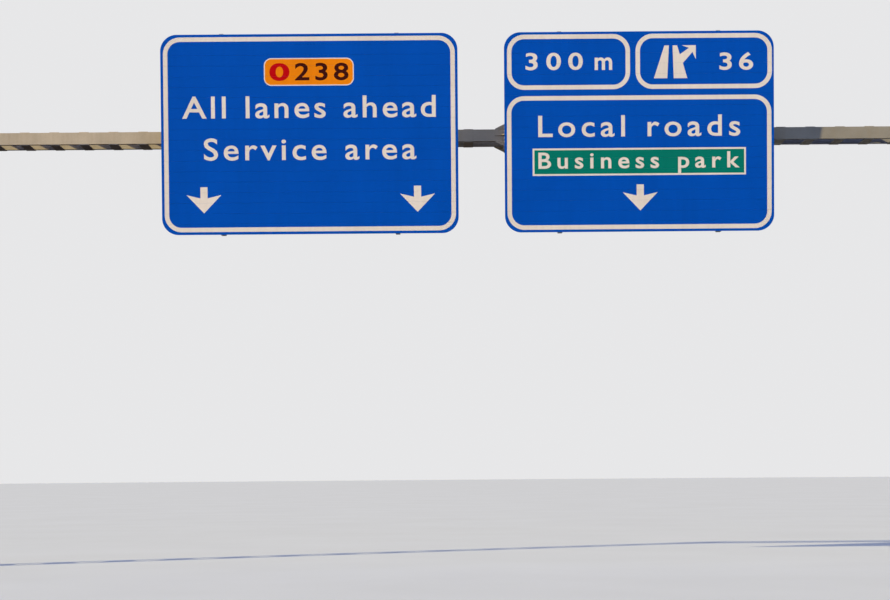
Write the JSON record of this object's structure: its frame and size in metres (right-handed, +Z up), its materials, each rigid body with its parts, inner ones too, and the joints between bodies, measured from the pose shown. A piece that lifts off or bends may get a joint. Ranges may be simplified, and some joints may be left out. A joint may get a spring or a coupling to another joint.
{
  "type": "overhead sign gantry",
  "caption": "Steel road gantry on two legs that carries two blue slat sign panels over a carriageway on a battened channel beam.",
  "frame": {"origin": "middle of the left base plate's underside, at ground level", "axes": "+X along the beam from the left leg to the right one as the driver sees them, +Y away from the faces of the signs, +Z up"},
  "size_m": [19.33, 1.2873, 8.8415],
  "materials": {
    "galvanised_steel": "dull galvanised, dusty",
    "sign_posts": "dull galvanised",
    "sign_slats": "blue film on the front, bare behind"
  },
  "bodies": {
    "root": {"left_base_plate": "galvanised_steel", "left_base_ribs": "galvanised_steel", "left_leg_front_channel": "galvanised_steel", "left_leg_rear_channel": "galvanised_steel", "left_leg_road_battens": "galvanised_steel", "left_leg_verge_battens": "galvanised_steel", "left_leg_head_flange": "galvanised_steel", "left_leg_cap": "galvanised_steel", "right_base_plate": "galvanised_steel", "right_base_ribs": "galvanised_steel", "right_leg_front_channel": "galvanised_steel", "right_leg_rear_channel": "galvanised_steel", "right_leg_road_battens": "galvanised_steel", "right_leg_verge_battens": "galvanised_steel", "right_leg_head_flange": "galvanised_steel", "right_leg_cap": "galvanised_steel", "left_beam_front_channel": "galvanised_steel", "left_beam_rear_channel": "galvanised_steel", "left_beam_top_battens": "galvanised_steel", "left_beam_bottom_battens": "galvanised_steel", "left_beam_end_flange": "galvanised_steel", "left_beam_splice_flange": "galvanised_steel", "right_beam_front_channel": "galvanised_steel", "right_beam_rear_channel": "galvanised_steel", "right_beam_top_battens": "galvanised_steel", "right_beam_bottom_battens": "galvanised_steel", "right_beam_end_flange": "galvanised_steel", "right_beam_splice_flange": "galvanised_steel", "left_sign_slats": "sign_slats", "left_sign_left_post": "sign_posts", "left_sign_right_post": "sign_posts", "left_sign_left_bracket": "sign_posts", "left_sign_right_bracket": "sign_posts", "right_sign_slats": "sign_slats", "right_sign_left_post": "sign_posts", "right_sign_right_post": "sign_posts", "right_sign_left_bracket": "sign_posts", "right_sign_right_bracket": "sign_posts"}
  },
  "joints": []
}
